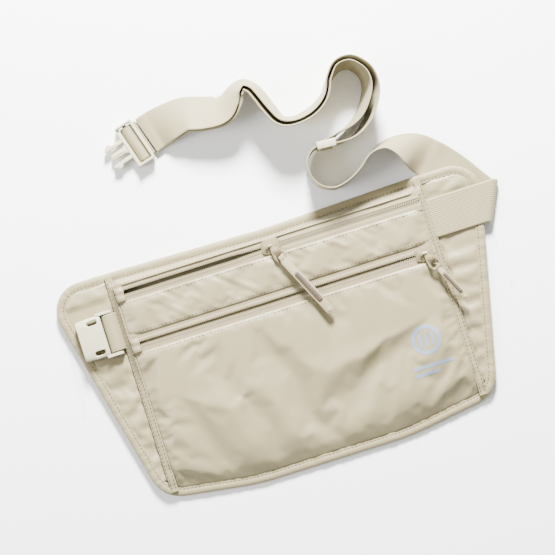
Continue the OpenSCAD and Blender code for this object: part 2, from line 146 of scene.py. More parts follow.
def mirrored(corners):
    """Corners below y = 0, and then the same corners above it in reverse."""
    return corners + [[x, -y, r] for x, y, r in corners[::-1]]


def plate(x0, y0, x1, y1, r):
    return fillet([[x0, y0, r], [x1, y0, r], [x1, y1, r], [x0, y1, r]], 5)


def turns(count):
    """Even angles once round a circle."""
    return linspace(0, 2 * pi, count, False)


def disc(x, y, r):
    return np.array([[x + r * cos(a), y + r * sin(a)] for a in turns(24)])


def grid_faces(n, m):
    """Quads of an n by m grid whose points are numbered column by column."""
    return [[i * m + j, (i + 1) * m + j, (i + 1) * m + j + 1, i * m + j + 1]
            for i in range(n - 1) for j in range(m - 1)]


class Shape:
    def __init__(self, at=None):
        self.at, self.verts, self.faces = at or Matrix.Identity(4), [], []

    def add(self, verts, faces):
        k = len(self.verts)
        self.verts += [self.at @ Vector(v) for v in verts]
        self.faces += [[i + k for i in f] for f in faces]
        return self

    def loft(self, rings, loop=False):
        """A skin through closed rings, with flat ends unless it is a loop."""
        n, m = len(rings), len(rings[0])
        faces = [[i * m + j, i * m + (j + 1) % m, (i + 1) % n * m + (j + 1) % m, (i + 1) % n * m + j]
                 for i in range(n if loop else n - 1) for j in range(m)]
        if not loop:
            faces += [list(range(m))[::-1], [(n - 1) * m + j for j in range(m)]]
        return self.add([p for r in rings for p in r], faces)

    def slab(self, outline, low, high, bevel=0.3):
        """An outline drawn up from low to high with rounded rims."""
        steps = [(bevel, low), (bevel * 0.3, low + bevel * 0.3), (0, low + bevel),
                 (0, high - bevel), (bevel * 0.3, high - bevel * 0.3), (bevel, high)]
        return self.loft([[(x, y, z) for x, y in inset(outline, d)] for d, z in steps])

    def tube(self, path, radius, sides=10):
        """A round bar along a path, with flat ends; the radius can change along it."""
        path = [Vector(p) for p in path]
        rings = []
        for k, p in enumerate(path):
            along = (path[min(k + 1, len(path) - 1)] - path[max(k - 1, 0)]).normalized()
            side = (side - along * side.dot(along) if k else along.orthogonal()).normalized()
            up = along.cross(side)
            r = radius[k] if hasattr(radius, "__len__") else radius
            rings.append([p + side * (r * cos(a)) + up * (r * sin(a)) for a in turns(sides)])
        return self.loft(rings)

    def make(self, name, flat_above=35):
        mesh = bpy.data.meshes.new(name)
        mesh.from_pydata([v * MM for v in self.verts], [], self.faces)
        b = bmesh.new()
        b.from_mesh(mesh)
        bmesh.ops.recalc_face_normals(b, faces=b.faces)
        b.to_mesh(mesh)
        b.free()
        mesh.polygons.foreach_set("use_smooth", [True] * len(mesh.polygons))
        mesh.set_sharp_from_angle(angle=radians(flat_above))
        return link(name, mesh)


def cloth_mesh(name, points):
    """An open grid of points[column][row], in millimetres, facing up."""
    mesh = bpy.data.meshes.new(name)
    flat = np.asarray(points, float).reshape(-1, 3) * MM
    mesh.from_pydata(flat.tolist(), [], grid_faces(len(points), len(points[0])))
    mesh.polygons.foreach_set("use_smooth", [True] * len(mesh.polygons))
    mesh.update()
    return link(name, mesh)


# %% [markdown]
# ## Finishes
# `Wire` wraps one node output so that shader maths reads like arithmetic.
# Each finish has the name of the record's material slot, and patterns run in the piece's own coordinates.


# %% Finishes
SMALLEST_DEPTH = 0.00002


class Wire:
    def __init__(self, tree, out=None):
        self.tree, self.out = tree, out

    def node(self, kind, settings, inputs, output=0):
        made = self.tree.nodes.new(kind)
        for key, value in settings.items():
            setattr(made, key, value)
        for key, value in inputs.items():
            if isinstance(value, Wire):
                self.tree.links.new(value.out, made.inputs[key])
            else:
                made.inputs[key].default_value = value
        return Wire(self.tree, made.outputs[output])

    def maths(self, operation, a, b=0.0):
        return self.node("ShaderNodeMath", {"operation": operation}, {0: a, 1: b})

    def __add__(self, other):
        return self.maths("ADD", self, other)

    def __sub__(self, other):
        return self.maths("SUBTRACT", self, other)

    def __mul__(self, other):
        return self.maths("MULTIPLY", self, other)

    __radd__, __rmul__ = __add__, __mul__


def finish_of(name, colour, rough, spread, grain, weave=None, depth=0.0, sheen=0.0, coat=0.0, clear=0.0):
    """weave is (thread spacing along X, along Y) in metres; UV maps carry it along webbing."""
    material = bpy.data.materials.new(name)
    material.use_nodes = True
    tree = material.node_tree
    shader = next(n for n in tree.nodes if n.type == "BSDF_PRINCIPLED")
    w = Wire(tree)
    where = w.node("ShaderNodeTexCoord", {}, {}, "Object")
    cloudy = w.node("ShaderNodeTexNoise", {}, {"Vector": where, "Scale": 55.0, "Detail": 4.0}) - 0.5
    fine = w.node("ShaderNodeTexNoise", {}, {"Vector": where, "Scale": 900.0, "Detail": 2.0}) - 0.5
    value = 1 + cloudy * spread * 2 + fine * spread
    light = w.node("ShaderNodeHueSaturation", {}, {"Color": (*colour, 1), "Value": value})
    tree.links.new(light.out, shader.inputs["Base Color"])
    tree.links.new((rough + cloudy * 0.12).out, shader.inputs["Roughness"])
    height = fine * grain
    if weave:
        place = w.node("ShaderNodeTexCoord", {}, {}, "UV" if name == "webbing" else "Object")
        x = w.node("ShaderNodeSeparateXYZ", {}, {"Vector": place}, "X")
        y = w.node("ShaderNodeSeparateXYZ", {}, {"Vector": place}, "Y")
        warp = w.maths("SINE", x * (2 * pi / weave[0]))
        weft = w.maths("SINE", y * (2 * pi / weave[1]))
        height = height + warp * weft * 0.5 + (warp + weft) * 0.2
    bump = w.node("ShaderNodeBump", {}, {"Height": height, "Strength": 0.6,
                                         "Distance": max(depth, SMALLEST_DEPTH)})
    tree.links.new(bump.out, shader.inputs["Normal"])
    for key, value in (("Sheen", sheen), ("Coat", coat), ("Subsurface", clear)):
        shader.inputs[f"{key} Weight"].default_value = value
    shader.inputs["Subsurface Scale"].default_value = 0.002
    return material


# colour, roughness, colour spread, grain, weave, weave depth, sheen, coat and how clear it is
LOOKS = {
    "cream_nylon": ((0.25, 0.213, 0.113), 0.48, 0.035, 0.4, (0.0009, 0.0009), 0.00004, 0.1),
    "binding_tape": ((0.238, 0.201, 0.103), 0.6, 0.07, 0.6, (0.0008, 0.0008), 0.00007, 0.15),
    "zip_tape": ((0.232, 0.190, 0.100), 0.7, 0.06, 0.5, (0.0009, 0.0007), 0.0001, 0.1),
    "zip_coil": ((0.34, 0.29, 0.17), 0.42, 0.06, 0.2, (0.0011, 0.02), 0.0002),
    "webbing": ((0.236, 0.202, 0.103), 0.62, 0.08, 0.6, (0.0016, 0.0021), 0.0001, 0.15),
    "buckle_plastic": ((0.47, 0.442, 0.295), 0.34, 0.02, 0.1, None, 0, 0, 0.15, 0.1),
    "slider_enamel": ((0.215, 0.174, 0.092), 0.30, 0.04, 0.1, None, 0, 0, 0.35),
    "pull_strip": ((0.285, 0.240, 0.134), 0.5, 0.04, 0.4),
    "pull_grip": ((0.07, 0.048, 0.025), 0.5, 0.12, 0.5),
    # the stitch thread is painted dark: painted shade of the stitch holes
    "painted_shade_thread": ((0.07, 0.052, 0.026), 0.7, 0.1, 0.3),
    "print": ((0.185, 0.23, 0.30), 0.5, 0.03, 0.2),
}
FINISH = {name: finish_of(name, *row) for name, row in LOOKS.items()}


def piece(obj, body, slot, *nodes):
    """Gives a piece the finish of its slot and its body, and hides the CAD nodes that it stands for."""
    obj.data.materials.clear()
    obj.data.materials.append(FINISH[slot])
    if body:
        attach(obj, body)
    if nodes:
        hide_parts(*nodes)
    return obj


print(len(FINISH), "finishes")

# %% [markdown]
# ## Light
# A pale table, a soft light from beyond the top edge, a weaker one from the left and an even sky.


# %% Light and floor
def soft_light(name, across, up, height, size, power):
    lamp = link(name, bpy.data.lights.new(name, "AREA"))
    lamp.data.shape, lamp.data.size, lamp.data.energy = "DISK", size, power
    target = Vector(VIEW_CENTRE) * MM
    lamp.location = target + VIEW_RIGHT * across + VIEW_UP * up + Vector((0, 0, height))
    lamp.rotation_euler = (target - lamp.location).to_track_quat("-Z", "Y").to_euler()


soft_light("key_light", -0.05, 0.98, 0.62, 0.3, 138.0)
soft_light("fill_light", -0.9, -0.1, 0.8, 0.6, 14.0)
world = bpy.data.worlds.new("studio")
world.use_nodes = True
sky = world.node_tree.nodes["Background"].inputs
sky["Color"].default_value, sky["Strength"].default_value = (1.0, 0.995, 0.985, 1), 0.62
bpy.context.scene.world = world
FLOOR = 1600
floor = Shape().slab(FLOOR * np.array([[-1, -1], [1, -1], [1, 1], [-1, 1]]), -6, -0.05, 0.01).make("floor", 1)
white = bpy.data.materials.new("table")
white.use_nodes = True
paper = white.node_tree.nodes["Principled BSDF"].inputs
paper["Base Color"].default_value, paper["Roughness"].default_value = (0.97, 0.97, 0.97, 1), 0.8
floor.data.materials.append(white)
print("two soft lights, sky and table")

# %% [markdown]
# ## Webbing
# The strap is 25 mm ribbed webbing. Each row of its route is x, y, how far it leans over in degrees, the gap
# to the return layer and how far each of the two layers is lifted, and what is left out is 0. It is flat near
# the pouch and stands on edge along its free length, where the return layer lies behind it from the tri-glide
# to the male buckle.

# %% Strap route
WEB_W, WEB_T = 25, 1.2
FOLD_AT, FOLD_DIR = (143.2, 49.5), radians(65.3)
OVER_Z, UNDER_Z = 5.3, 0.3
TRI_GLIDE_POINT = 16
ROUTE = [
    [143.2, 49.5], [134.5, 61], [127.5, 71.5], [120, 81], [112.5, 88.5, 1.5], [105, 95.5, 30],
    [97, 100.5, 58], [88.5, 102.5, 78], [79, 99.5, 90], [70.5, 93, 90], [61.5, 88, 90], [51.5, 86, 90],
    [43, 90, 90, 0, 0.4], [38.5, 99, 90, 0, 1.2, 1.2], [40.5, 108, 90, 0, 2, 2],
    [46, 113, 90, 2.8, 2.4, 2.4], [54, 113.5, 90, 2.8, 2.4, 2.4], [63, 112, 91, 6, 1.6, 1.6],
    [74, 114, 96, 7, 0.6, 0.6], [84, 121, 100, 6.2], [91, 131, 102, 5.4], [94.5, 141, 102, 4.6],
    [93, 151.5, 100, 3.8], [85, 160, 98, 3.2], [75, 160, 96, 2.8], [67, 153, 90, 2.8], [61.5, 144, 84, 2.8],
    [52.5, 138, 80, 2.8], [41.5, 135.5, 80, 2.8], [33, 138, 80, 3.4], [28.8, 146.5, 77, 3.6],
    [25, 156.4, 76, 3.4], [21.3, 163.2, 77, 3.2], [15.5, 166.8, 75, 3.0, 0.1], [9, 163.8, 68, 2.9, 0.3],
    [4, 158.4, 55, 2.7, 0.8], [-3, 155, 40, 2.5, 1.4], [-14, 156.6, 31, 2.4, 2],
    [-25, 159.4, 27, 2.4, 2.2, 0.1], [-36, 158, 16, 2.4, 2.2, 0.2], [-46, 155.8, 0, 2.3, 2.3, 0.2],
    [-52, 153.9, 0, 2.3, 2.3, 0.2]]
ROUTE = np.array([row + [0] * (6 - len(row)) for row in ROUTE])
LAST = len(ROUTE) - 1


def route_at(s):
    k = min(int(s), LAST - 1)
    t = s - k
    a, b, c, d = ROUTE[max(k - 1, 0)], ROUTE[k], ROUTE[k + 1], ROUTE[min(k + 2, LAST)]
    square, cube = 2 * a - 5 * b + 4 * c - d, 3 * b - a - 3 * c + d
    return 0.5 * (2 * b + (c - a) * t + square * t * t + cube * t ** 3)


def web_frame(s, layer):
    """Middle, width direction and face direction of a layer of the strap."""
    d = route_at(min(s + 0.02, LAST)) - route_at(max(s - 0.02, 0))
    hx, hy = d[:2] / np.linalg.norm(d[:2])
    x, y, lean, gap, lift, lift_back = route_at(s)
    lean = radians(lean)
    shift = -gap * sin(lean) if layer else 0
    height = WEB_W / 2 * abs(sin(lean)) + WEB_T / 2 * abs(cos(lean)) + 0.3
    middle = [x + hy * shift, y - hx * shift, height + (lift_back if layer else lift)]
    at_fold = max(0, 1 - s)
    across = (1 - at_fold) * np.array([-hy * cos(lean), hx * cos(lean), sin(lean)]) \
        - at_fold * np.array([cos(FOLD_DIR), sin(FOLD_DIR), 0]) / sin(FOLD_DIR)
    face = np.array([hy * sin(lean), -hx * sin(lean), cos(lean)])
    return np.array(middle), across, face


# %% [markdown]
# `webbing` sweeps a ribbed section: ribs 1.25 mm apart, thinner at the two edges, with a UV map in metres.


# %% Webbing helper
def web_section(width, thickness):
    """Points (across, up) round a ribbed section."""
    ribs = round(width / 1.25)
    s = linspace(-1, 1, ribs * 4 + 1)
    edge = np.clip((1 - np.abs(s)) * width / 1.4, 0, 1) ** 0.5
    up = thickness / 2 * (0.25 + 0.75 * edge) * (0.85 + 0.15 * np.cos(s * ribs * pi))
    top = np.stack([s * width / 2, up], 1)
    return np.concatenate([top, top[::-1] * [1, -1]])


def webbing(name, frames, width=WEB_W, thickness=WEB_T):
    section = web_section(width, thickness)
    rings = [[m + a * w + f * u for w, u in section] for m, a, f in frames]
    obj = Shape().loft(rings).make(name, 60)
    middles = np.array([m for m, _, _ in frames])
    run = np.concatenate([[0], np.cumsum(np.linalg.norm(np.diff(middles, axis=0), axis=1))]) * MM
    uv = obj.data.uv_layers.new(name="along")
    n = len(section)
    for loop in obj.data.loops:
        v = loop.vertex_index
        uv.data[loop.index].uv = (run[v // n], section[v % n][0] * MM)
    return obj, middles, run[-1]


def strap_layer(name, first, last, layer):
    steps = linspace(first, last, int((last - first) * 6) + 1)
    return webbing(name, [web_frame(s, layer) for s in steps])


main_strap, main_path, main_long = strap_layer("waist_strap", 0, LAST, 0)
return_strap, return_path, return_long = strap_layer("strap_return_layer", TRI_GLIDE_POINT - 0.1, LAST, 1)
piece(main_strap, None, "webbing", "main_strap")
piece(return_strap, None, "webbing", "return_strap")
for strap in (main_strap, return_strap):
    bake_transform(strap)
print(f"main strap {main_long:.3f} m, return layer {return_long:.3f} m")

# %% [markdown]
# The strap is sewn into the right seam, lies over the right wing, folds on a slant at the wing's edge
# and runs back behind the wing.


# %% Strap over the wing
def over_wing():
    f = np.array([cos(FOLD_DIR), sin(FOLD_DIR), 0.0]) / sin(FOLD_DIR)
    square = np.array([0, 1.0, 0])
    frames = []
    top = OVER_Z + WEB_T / 2
    for x in linspace(101.5, FOLD_AT[0] - 9, 26):
        turned = ease(118, FOLD_AT[0] - 9, x)
        wavy = top + 0.25 * sin(x / 4.3)
        frames.append(([x, FOLD_AT[1], wavy], square * (1 - turned) + f * turned, [0, 0, 1.0]))
    r = (OVER_Z - UNDER_Z) / 2
    out = np.array([sin(FOLD_DIR), -cos(FOLD_DIR), 0.0])
    hinge = np.array([*FOLD_AT, UNDER_Z + WEB_T / 2 + r])
    for x in linspace(FOLD_AT[0] - 7, FOLD_AT[0] - 1, 4):
        frames.append(([x, FOLD_AT[1], top], f, [0, 0, 1.0]))
    for a in linspace(0, pi, 13):
        frames.append((hinge + out * (r * 1.15 * sin(a)) + np.array([0, 0, r * cos(a)]), f,
                       out * sin(a) + np.array([0, 0, cos(a)])))
    return [tuple(np.asarray(v, float) for v in row) for row in frames]


wing_strap, _, wing_strap_long = webbing("strap_over_wing", over_wing())
piece(wing_strap, "pouch", "webbing", "strap_over_wing", "strap_fold")
print(f"strap over the wing {wing_strap_long:.3f} m")

# %% [markdown]
# ## Buckles
# The male half has a frame with two crossbars, a middle guide and two barbed arms. The strap turns round its
# centre bar. `MALE` is the place and turn that the buckle is drawn in, with x along its nose.

# %% Male buckle
MALE_AT, MALE_TURN, MALE_BAR, MALE_Z = (-56.2, 152.7), 196.6, 4.2, 3.2
MALE = Matrix.Translation((*MALE_AT, 0)) @ Matrix.Rotation(radians(MALE_TURN), 4, "Z")


def male_frame():
    s = Shape(MALE)
    side = WEB_W / 2 + 0.4
    for low in (-side - 1.5, side):
        s.slab(plate(-1.6, low, 10.2, low + 1.5, 0.6), 1.5, 7.3, 0.45)
    s.tube([(-0.8, v, 6.2) for v in linspace(-side - 1.4, side + 1.4, 7)], 0.95, 14)
    s.tube([(MALE_BAR, y, MALE_Z) for y in linspace(-side - 0.3, side + 0.3, 5)], 1.3, 16)
    s.slab(plate(8.1, -side - 1.4, 10.4, side + 1.4, 0.8), 1.4, 5.8, 0.55)
    guide = [[9.8, -3.4, 0], [12.6, -2.0, 1.5], [21.8, -1.8, 1.6]]
    s.slab(fillet(mirrored(guide)), 1.9, 5.3, 0.5)
    s.slab(plate(12.5, -0.45, 19.8, 0.45, 0.4), 5.1, 5.6, 0.2)
    return s.make("male_buckle_body")


def male_arm(name, k):
    s = Shape(MALE @ Matrix.Diagonal((1, k, 1, 1)))
    barb = [[9.8, 4.5, 0.3], [17.6, 4.7, 2], [23.0, 4.6, 1.2], [24.0, 6.0, 0.9],
            [20.6, 8.5, 0.9], [18.2, 8.2, 0.6], [17.9, 6.9, 0.6], [9.8, 6.9, 0.3]]
    return s.slab(fillet(barb, 5), 1.8, 5.4, 0.25).make(name)


male_body = piece(male_frame(), "male_buckle", "buckle_plastic", "male_buckle_frame")
left_arm, right_arm = (piece(male_arm(f"{arm}_looks", k), arm, "buckle_plastic", arm)
                       for arm, k in (("left_latch_arm", 1), ("right_latch_arm", -1)))


def end_turn():
    """The strap comes in on top, turns round the centre bar and leaves below."""
    frames = []
    wide, tall = 2.9, 2.15
    into = MALE.to_3x3()
    comes = [(-3.2, 0.3, 8), (-1.6, 0.5, 14), (0.2, 1.1, 24), (1.4, 1.7, 22)]
    round_bar = [(MALE_BAR + 0.1 + wide * cos(b), tall * sin(b), degrees(b) - 90)
                 for b in linspace(2.1, -1.75, 19)]
    leaves = [(1.6, 0.05 - tall, 180), (-1.4, 0.2 - tall, 180), (-3.4, 0.3 - tall, 180)]
    for u, z, a in comes + round_bar + leaves:
        normal = Vector((-sin(radians(a)), 0, cos(radians(a))))
        middle, across = MALE @ Vector((u, 0, MALE_Z + z)), into @ Vector((0, 0.99, 0))
        frames.append((np.array(middle), np.array(across), np.array(into @ normal)))
    return frames


end_loop, _, _ = webbing("strap_end_loop_looks", end_turn(), WEB_W - 0.5)
piece(end_loop, "male_buckle", "webbing", "strap_end_loop")

# %% [markdown]
# The tri-glide stands on edge with the strap: two rails and three crossbars, the middle one behind the strap.


# %% Tri-glide
def tri_glide_shape():
    x, y, _, gap, lift, _ = route_at(TRI_GLIDE_POINT)
    d = route_at(TRI_GLIDE_POINT + 0.02) - route_at(TRI_GLIDE_POINT - 0.02)
    turn = Matrix.Rotation(atan2(d[1], d[0]), 4, "Z") @ Matrix.Rotation(pi / 2, 4, "X")
    s = Shape(Matrix.Translation((x, y, WEB_W / 2 + 0.3 + lift)) @ turn)
    rail, front, back = WEB_W / 2 + 0.2, WEB_T / 2 + 0.2, -gap + WEB_T / 2
    for low in (-rail - 1.7, rail):
        s.slab(plate(-6, low, 6, low + 1.7, 0.7), back, front + 1.7, 0.4)
    for u in (-6, 3.8):
        s.slab(plate(u, -rail - 1.6, u + 2.2, rail + 1.6, 0.8), front, front + 1.8, 0.5)
    s.slab(plate(-1.1, -rail - 1.2, 1.1, rail + 1.2, 0.6), back, -front, 0.3)
    return s.make("tri_glide_looks")


glide = piece(tri_glide_shape(), "pouch", "buckle_plastic", "tri_glide")

# %% [markdown]
# ## Cords
# Both layers of the free strap are the two webbing pieces made above, whose lengths are printed there.

# %% Cords
print("two strap layers")

# %% [markdown]
# The female half hangs on a short loop of webbing from the left seam and turns on its bar.

# %% Female buckle
FEM_X, FEM_Y, FEM_Z = -109, 41.3, 8.0
FEM_LOW, FEM_HIGH = 5.5, 12.1


def housing():
    """A rounded shell with a mouth for the latch arms and a slot over each arm."""
    back, mouth = FEM_X - 5.2, FEM_X - 21.4
    mid = (FEM_LOW + FEM_HIGH) / 2
    rings = []
    corner = plate(-1, -1, 1, 1, 0.4)
    for x, half, tall in [(back, 12.4, 2.5), (back - 0.5, 13.0, 3.0), (back - 2, 13.2, 3.25),
                          (back - 9, 13.2, 3.3), (back - 14, 12.9, 3.2), (mouth + 1, 12.6, 3.05),
                          (mouth + 0.3, 12.4, 2.95), (mouth, 12.1, 2.75)]:
        rings.append([(x, FEM_Y + u * half, mid + np.sign(v) * (abs(v) * tall - 0.28 * (u * u)))
                      for u, v in corner])
    for x, half, tall in [(mouth, 11.3, 2.45), (mouth + 0.4, 11, 2.3), (mouth + 14.3, 11, 2.3)]:
        rings.append([(x, FEM_Y + u * half, mid + v * tall) for u, v in corner])
    body = Shape().loft(rings).make("buckle_cut", 30)
    tool = Shape()
    for k in (-1, 1):
        y = FEM_Y + k * 9.7
        tool.slab(plate(back - 9.2, y - 1.5, back - 2.4, y + 1.5, 1.45), -5, 30, 0.01)
    cut_out(body, tool)
    return body


def apply_modifiers(obj):
    graph = bpy.context.evaluated_depsgraph_get()
    made = bpy.data.meshes.new_from_object(obj.evaluated_get(graph), depsgraph=graph)
    obj.modifiers.clear()
    obj.data = made


def cut_out(obj, tool):
    """Takes a shape away from a piece."""
    cutter = tool.make("cutter")
    cut = obj.modifiers.new("cut", "BOOLEAN")
    cut.object, cut.operation = cutter, "DIFFERENCE"
    apply_modifiers(obj)
    bpy.data.objects.remove(cutter)


def ears():
    s = Shape()
    for k in (-1, 1):
        y = FEM_Y + k * 13.6
        side = [[FEM_X + 2.9 * cos(a), FEM_Z + 2.9 * sin(a)] for a in linspace(-1.4, 1.4, 9)]
        side += [[FEM_X - 7.5, FEM_Z + 3.4], [FEM_X - 7.5, FEM_Z - 2.2]]
        rings = [[(x, y + d, z) for x, z in inset(side, b)]
                 for d, b in [(-0.95, 0.35), (-0.7, 0), (0.7, 0), (0.95, 0.35)]]
        s.loft(rings)
    return s.make("buckle_ears")


def join(name, *objects):
    """Joins meshes in one piece."""
    for o in bpy.context.selected_objects:
        o.select_set(False)
    for o in objects:
        o.select_set(True)
    bpy.context.view_layer.objects.active = objects[0]
    bpy.ops.object.join()
    objects[0].name = name
    return objects[0]


shell = join("female_buckle_body", housing(), ears())
piece(shell, "female_buckle", "buckle_plastic", "female_buckle_housing")
bar_line = [(FEM_X, FEM_Y + y, FEM_Z) for y in linspace(-14.2, 14.2, 5)]
bar = Shape().tube(bar_line, 1.35, 18).make("female_buckle_bar_looks")
piece(bar, "female_buckle", "buckle_plastic", "female_buckle_bar")


def tab_frames():
    r = 1.6 + WEB_T / 2 - 0.1
    line = [(-102.4, 4.6), (-103.8, 5.0), (-104.5, 6.0), (-104.9, 7.4), (-105.6, 8.9), (-106.9, 10.1)]
    line += [(FEM_X + (r + 2.1) * cos(a), FEM_Z + (r + 0.6) * sin(a))
             for a in linspace(1.5, 4.4, 17)]
    line += [(-108.2, 5.75), (-106.8, 5.1), (-105.2, 4.5), (-103.4, 3.9), (-102.4, 3.7)]
    line = np.array(line)
    out = []
    for k, (x, z) in enumerate(line):
        d = line[min(k + 1, len(line) - 1)] - line[max(k - 1, 0)]
        d /= np.linalg.norm(d)
        out.append((np.array([x, FEM_Y, z]), np.array([0, 1.0, 0]), np.array([d[1], 0, -d[0]])))
    return out


tab, _, _ = webbing("buckle_tab_webbing", tab_frames(), WEB_W - 1, 1.1)
piece(tab, "pouch", "webbing", "buckle_tab")
print("buckles made")

# %% [markdown]
# ## Pouch outline
# The outline is drawn from its corners. The wings are lifted a little, so that the strap can pass behind.

# %% Outline
WING_LIFT = 2.4
half_outline = [[50, -78, 160], [110.6, -69, 21], [144.7, 78, 18], [100, 78, 200]]
corners = half_outline + [[0, 75.4, 300]] + [[-x, y, r] for x, y, r in half_outline[::-1]]
EDGE = fillet(corners, 24)


def evenly(points, gap):
    """Points a near-equal gap apart round a closed line."""
    closed = np.vstack([points, points[:1]])
    step = np.linalg.norm(np.diff(closed, axis=0), axis=1)
    closed = closed[np.concatenate([[True], step > 1e-6])]
    run = np.concatenate([[0], np.cumsum(np.linalg.norm(np.diff(closed, axis=0), axis=1))])
    at = linspace(0, run[-1], int(run[-1] / gap), endpoint=False)
    return np.stack([np.interp(at, run, closed[:, k]) for k in (0, 1)], 1), run[-1]


EDGE, edge_long = evenly(EDGE, 1.1)


def crossing(depth, axis, at):
    """Where a line x = at (axis 0) or y = at (axis 1) crosses the outline drawn in by depth."""
    a = INSETS.setdefault(depth, inset(EDGE, depth))
    b = np.roll(a, -1, 0)
    u, v = a[:, axis] - at, b[:, axis] - at
    hit = u * v <= 0
    t = u[hit] / (u[hit] - v[hit] + 1e-12)
    y = a[hit, 1 - axis] + t * (b[hit, 1 - axis] - a[hit, 1 - axis])
    return (y.min(), y.max()) if len(y) else (0.0, 0.0)


INSETS = {}


def lift(x):
    return WING_LIFT * ease(100, 108, np.abs(x))


SEAM_X = 100.3
seam_low, seam_high = crossing(4.0, 0, 102)


def from_seam(x, reach):
    return dome((SEAM_X - np.abs(x)) / reach)


def seam_top(y):
    """Height of the body's side seam, which falls to the binding at both ends."""
    full = 3.4 + 2.5 * ease(0, 24, y)
    return 3.2 + full * ease(seam_low, seam_low + 20, y) * ease(seam_high, seam_high - 7, y)


print(f"outline {edge_long:.0f} mm round")

# %% [markdown]
# ## Cloth
# A panel starts as a grid held along its edges. It is a little larger than the room that it has, so in a
# short cloth simulation it buckles into soft wrinkles, which is how a sewn nylon panel lies. The simulation
# runs at twenty times the size, where its steps behave well.


# %% Cloth helper
def settle(obj, held, grow, stiff, push, frames=24, size=20.0, freedom=None):
    """freedom(x, y) is the share of the settled shape that each point takes, less where it stays flat."""
    before = np.array([v.co for v in obj.data.vertices])
    obj.data.transform(Matrix.Scale(size, 4))
    group = obj.vertex_groups.new(name="held")
    group.add(held, 1.0, "REPLACE")
    mod = obj.modifiers.new("cloth", "CLOTH")
    c = mod.settings
    c.quality, c.mass, c.air_damping = 5, 0.3, 4.0
    c.tension_stiffness = c.compression_stiffness = 25
    c.shear_stiffness, c.bending_stiffness = 12, stiff
    c.vertex_group_mass = "held"
    c.shrink_min = -grow
    c.use_pressure, c.uniform_pressure_force = True, push
    c.effector_weights.gravity = 0.0
    mod.point_cache.frame_start, mod.point_cache.frame_end = 1, frames
    for f in range(1, frames + 1):
        bpy.context.scene.frame_set(f)
    apply_modifiers(obj)
    bpy.context.scene.frame_set(1)
    obj.data.transform(Matrix.Scale(1 / size, 4))
    if freedom:
        after = np.array([v.co for v in obj.data.vertices])
        share = freedom(before[:, 0] / MM, before[:, 1] / MM)[:, None]
        obj.data.vertices.foreach_set("co", (before + (after - before) * share).astype(np.float32).ravel())
    obj.data.polygons.foreach_set("use_smooth", [True] * len(obj.data.polygons))


def rim(n, m, first=1, last=None):
    """Points of an n by m grid in its end columns, and in its rows before first and after last."""
    last = m - 2 if last is None else last
    return [i * m + j for i in range(n) for j in range(m) if i in (0, n - 1) or j < first or j > last]


HEM = [(0.5, 0.9), (-0.15, 0.7), (-0.3, 0.3)]  # steps in and down from the panel's edge


def panel(name, columns, low, high, rows, height, hem_low=False, hem_high=False):
    """A grid panel between low(x) and high(x). A hemmed edge curls down at the zip."""
    t = linspace(0, 1, rows)
    grid = []
    for x in columns:
        y = low(x) + (high(x) - low(x)) * t
        z = height(np.full(rows, x), y)
        column = np.stack([np.full(rows, x), y, z], 1).tolist()
        if hem_low:
            column = [[x, y[0] + a, z[0] - b] for a, b in HEM] + column
        if hem_high:
            column += [[x, y[-1] - a, z[-1] - b] for a, b in HEM[::-1]]
        grid.append(column)
    obj = cloth_mesh(name, grid)
    n, m = len(grid), len(grid[0])
    first, last = (4 if hem_low else 1), m - (5 if hem_high else 2)
    return obj, rim(n, m, first, last)


def cap(obj, limit):
    """Keeps the cloth under what lies on it."""
    mesh = obj.data
    co = np.array([v.co for v in mesh.vertices]) / MM
    top = limit(co[:, 0], co[:, 1])
    over = co[:, 2] > top - 0.5
    soft = top - 0.5 + 0.5 * np.tanh((co[:, 2] - top + 0.5) / 0.5)
    co[:, 2] = np.where(over, soft, co[:, 2])
    mesh.vertices.foreach_set("co", (co * MM).astype(np.float32).ravel())
    mesh.update()


def thicken(obj, depth=0.35):
    mod = obj.modifiers.new("thickness", "SOLIDIFY")
    mod.thickness, mod.offset = depth * MM, -1
    apply_modifiers(obj)


# %% [markdown]
# ## Front panel
# It rises from the bottom binding and the side seams to the lower zip, with one broad dent below the zip.

# %% Front panel
UPPER_ZIP, LOWER_ZIP = 63.5, 30.0
FRONT_Z = 11.3
FOLD_HALF = 5.6
HEM_DIP = 0.5


def front_height(x, y):
    low = np.array([crossing(5.2, 0, a)[0] for a in x])
    z = 2.7 + (FRONT_Z - 2.7) * (0.2 * dome((y - low) / 9) + 0.8 * dome((y - low) / 60))
    side = seam_top(y) + (FRONT_Z + 0.2 - seam_top(y)) * from_seam(x, 16)
    z = np.minimum(z, side)
    room = dome((y - low) / 12) * from_seam(x, 12) * dome((LOWER_ZIP - FOLD_HALF - y) / 8)
    folds = (1.3 * ripple(x * 1.2 + y * 0.5, y * 0.4 - x * 0.15, 27, 1)
             + 0.35 * ripple(x + y * 0.7, y * 0.6 - x * 0.2, 13, 2))
    off, along = (y + 19.5) * 0.94 - (x - 46) * 0.342, (x - 46) * 0.94 + (y + 19.5) * 0.342
    dent = (1.9 * np.tanh(off / 5.5) * np.exp(-(along / 27) ** 2 - (off / 18) ** 2)
            - 1.0 * np.exp(-(((x - 10) / 50) ** 2 + ((y + 30) / 22) ** 2)))
    pucker = 0.3 * ripple(x, y * 0.3, 3.6, 3) * np.exp(-(y - low) / 6)
    dip = HEM_DIP * (1 - dome((LOWER_ZIP - FOLD_HALF - y) / 6))
    return z + room * (folds + dent) + pucker * dome((y - low) / 1.5) - dip


front, held = panel("front_panel_cloth", linspace(-SEAM_X, SEAM_X, 150), lambda x: crossing(5.2, 0, x)[0],
                    lambda x: LOWER_ZIP - FOLD_HALF - 0.3, 72, front_height, hem_high=True)
settle(front, held, 0.02, 1.0, 0.1, freedom=lambda x, y: ease(-72, -50, y + (x / 40) ** 2 * 0.6))
cap(front, lambda x, y: 13.6 - 1.65 * ease(-26, -8, y))
thicken(front)
piece(front, "pouch", "cream_nylon", "front_panel")
print("front panel", len(front.data.vertices), "points")

